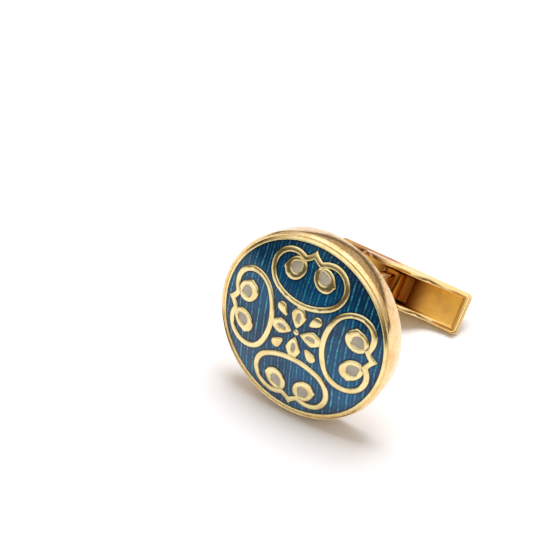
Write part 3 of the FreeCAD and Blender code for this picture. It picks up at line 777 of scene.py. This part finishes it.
def makeToggle():
    halfLength, halfWidth = toggle["length"] / 2, toggle["width"] / 2
    bottom, endTop = toggle["bottom"], toggle["endTop"]
    half = foot = bellHalfLength(0)
    piece = startSheet("toggleShell", toggle["length"], toggle["width"], bottom)
    for cut in (-foot, foot):
        bpy.ops.mesh.select_all(action="SELECT")
        bpy.ops.mesh.bisect(plane_co=(cut, 0, bottom), plane_no=(1, 0, 0))
    selectOpenEdges()
    drawOut((0, 0, endTop - bottom))
    selectEdges(piece, lambda middle, along: middle.z > endTop - nearby and abs(middle.x) < foot - nearby)
    rise = (toggle["humpTop"] - endTop) / toggle["rows"]
    for row in range(1, toggle["rows"] + 1):
        nextHalf = bellHalfLength(row / toggle["rows"])
        drawOut((0, 0, rise))
        bpy.ops.transform.resize(value=(nextHalf / half, 1, 1), center_override=(0, 0, 0))
        half = nextHalf
    cleanMesh()
    endEdit()
    floor = next(face for face in piece.data.polygons if face.center.z < bottom + nearby)
    if floor.normal.z > 0:
        startEdit(piece)
        bpy.ops.mesh.flip_normals()
        endEdit()
    applyModifier(piece, "SOLIDIFY", thickness=toggle["wall"], offset=-1, use_even_offset=True)
    startEdit(piece)
    selectEdges(piece, lambda middle, along: upright(along) and abs(middle.x) > halfLength - nearby
                and abs(middle.y) > halfWidth - nearby)
    bpy.ops.mesh.bevel(offset=toggle["corner"], segments=toggle["cornerSteps"])
    endEdit()
    roundEdges(piece, toggle["edge"], toggle["edgeSteps"], toggle["edgeAngle"])
    joinPieces(piece, makeBase())
    setDown(piece, hingePlace)
    finishPiece(piece, "toggle", "gilt_mirror", toggleGilt, "toggle_shell")


# Hinge pin: a rivet with rounded ends, just proud of the walls
pin = {"radius": 0.55, "proud": 0.05, "edge": 0.12, "edgeSteps": 4, "facets": 48}


def makePin():
    piece = addRod("hingeRivet", pin["radius"], toggle["width"] + 2 * pin["proud"], pin["facets"])
    roundEdges(piece, pin["edge"], pin["edgeSteps"])
    setDown(piece, hingePlace)
    finishPiece(piece, "toggle", "gilt_metal", toggleGilt, "hinge_pin")


def paintNode(node, material):
    nodes[node].data.materials.clear()
    nodes[node].data.materials.append(material)


makeStem()
makeToggle()
makePin()
paintNode("leaf_spring", springGilt)
paintNode("ground_plate", engineTurnedGold)
for side in sides:
    for kind in ("petal_inlay", "bud_inlay_right", "bud_inlay_left"):
        paintNode(f"{kind}_{side}", greyEnamel)
print("stem and toggle modelled")

# Table: white round the object, going to grey far away, a painted falloff of the light
table = {"size": 4.0, "near": (0.84, 0.86, 0.92, 1.0), "far": (0.22, 0.22, 0.24, 1.0),
         "fadeStep": (0.1, 0.32), "rough": 0.6}


def makeTable():
    deselectAll()
    bpy.ops.mesh.primitive_plane_add(size=table["size"], location=(0, 0, 0))
    floor = bpy.context.object
    floor.name = "table"
    paint = Paint("tableWhite")
    place = paint.node("TexCoord", result="Object")
    spread = paint.node("VectorMath", {"operation": "LENGTH"}, {0: place}, "Value")
    # painted falloff: the floor greys with distance from the object
    white = paint.mix(spread.between(*table["fadeStep"]), table["near"], table["far"])
    floor.data.materials.append(paint.dress({"Base Color": white, "Roughness": table["rough"]}))
    floor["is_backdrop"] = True


# Room: soft light from above and behind, dim round the horizon and warm where it is dim. Matt surfaces get
# only a share of it, so that the lamp's shadow shows.
room = {"dim": 0.12, "backStep": (-0.3, 0.5), "wall": 0.5, "wallStep": (0.03, 0.11),
        "backSky": 0.95, "backSkyStep": (0.24, 0.72), "frontSky": 1.06, "frontSkyStep": (0.12, 0.75),
        "tint": (0.98, 0.985, 1.0, 1.0), "shade": (1.0, 0.85, 0.62, 1.0), "tintStep": (0.3, 1.1),
        "soft": (1.0, 0.89, 0.77, 1.0), "share": 0.62}


def makeRoom():
    world = bpy.data.worlds.new("room")
    scene.world = world
    world.use_nodes = True
    sky = Nodes(world.node_tree)
    y, z = sky.axes(sky.node("TexCoord", result="Generated"))[1:]
    behind = y.between(*room["backStep"])
    back = z.between(*room["wallStep"]) * room["wall"] + z.between(*room["backSkyStep"]) * room["backSky"]
    front = z.between(*room["frontSkyStep"]) * room["frontSky"]
    level = room["dim"] + behind * back + (1 - behind) * front
    tone = sky.mix(level.between(*room["tintStep"]), room["shade"], room["tint"])
    seen = 0
    for ray in ("Is Camera Ray", "Is Glossy Ray", "Is Transmission Ray"):
        seen = sky.node("LightPath", result=ray) + seen
    seen = seen.between(0, 1)
    strength = level * seen.level(room["share"], 1 - room["share"])
    glow = sky.node("Background", None, {"Color": sky.mix(seen, room["soft"], tone), "Strength": strength})
    sky.node("OutputWorld", None, {"Surface": glow})


# Lamp: one soft box above and a little behind, not mirrored in the gold
lamp = {"place": (-0.06, 0.26, 0.9), "size": 0.5, "power": 7.0}


def makeLamp():
    light = bpy.data.lights.new("softBox", "AREA")
    light.size = lamp["size"]
    light.energy = lamp["power"]
    holder = bpy.data.objects.new("softBox", light)
    scene.collection.objects.link(holder)
    holder.location = lamp["place"]
    holder.visible_glossy = False
    holder.rotation_euler = (headPoint - holder.location).to_track_quat("-Z", "Y").to_euler()


# Camera: where the photograph was taken from, in the head's frame
shot = {"place": (87.41, 109.42, 169.40), "up": (-0.3841, 0.8633, -0.3273),
        "back": (0.4192, 0.4789, 0.7713), "lens": 155.18, "film": 36.0, "nearest": 0.01, "farthest": 20}


def makeCamera():
    camera = bpy.data.cameras.new("shot")
    camera.lens = shot["lens"]
    camera.sensor_width = shot["film"]
    camera.clip_start = shot["nearest"]
    camera.clip_end = shot["farthest"]
    holder = bpy.data.objects.new("shot", camera)
    scene.collection.objects.link(holder)
    back = headRotation.to_3x3() @ Vector(shot["back"]).normalized()
    up = headRotation.to_3x3() @ Vector(shot["up"]).normalized()
    right = up.cross(back).normalized()
    turned = Matrix((right, back.cross(right), back)).transposed()
    holder.matrix_world = Matrix.Translation(headPlace @ Vector(shot["place"])) @ turned.to_4x4()
    scene.camera = holder


makeTable()
makeRoom()
makeLamp()
makeCamera()
print("table, light and camera set")

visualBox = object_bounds()
({"cad": [list(corner) for corner in cadBox],
           "visual": [list(corner) for corner in visualBox]})
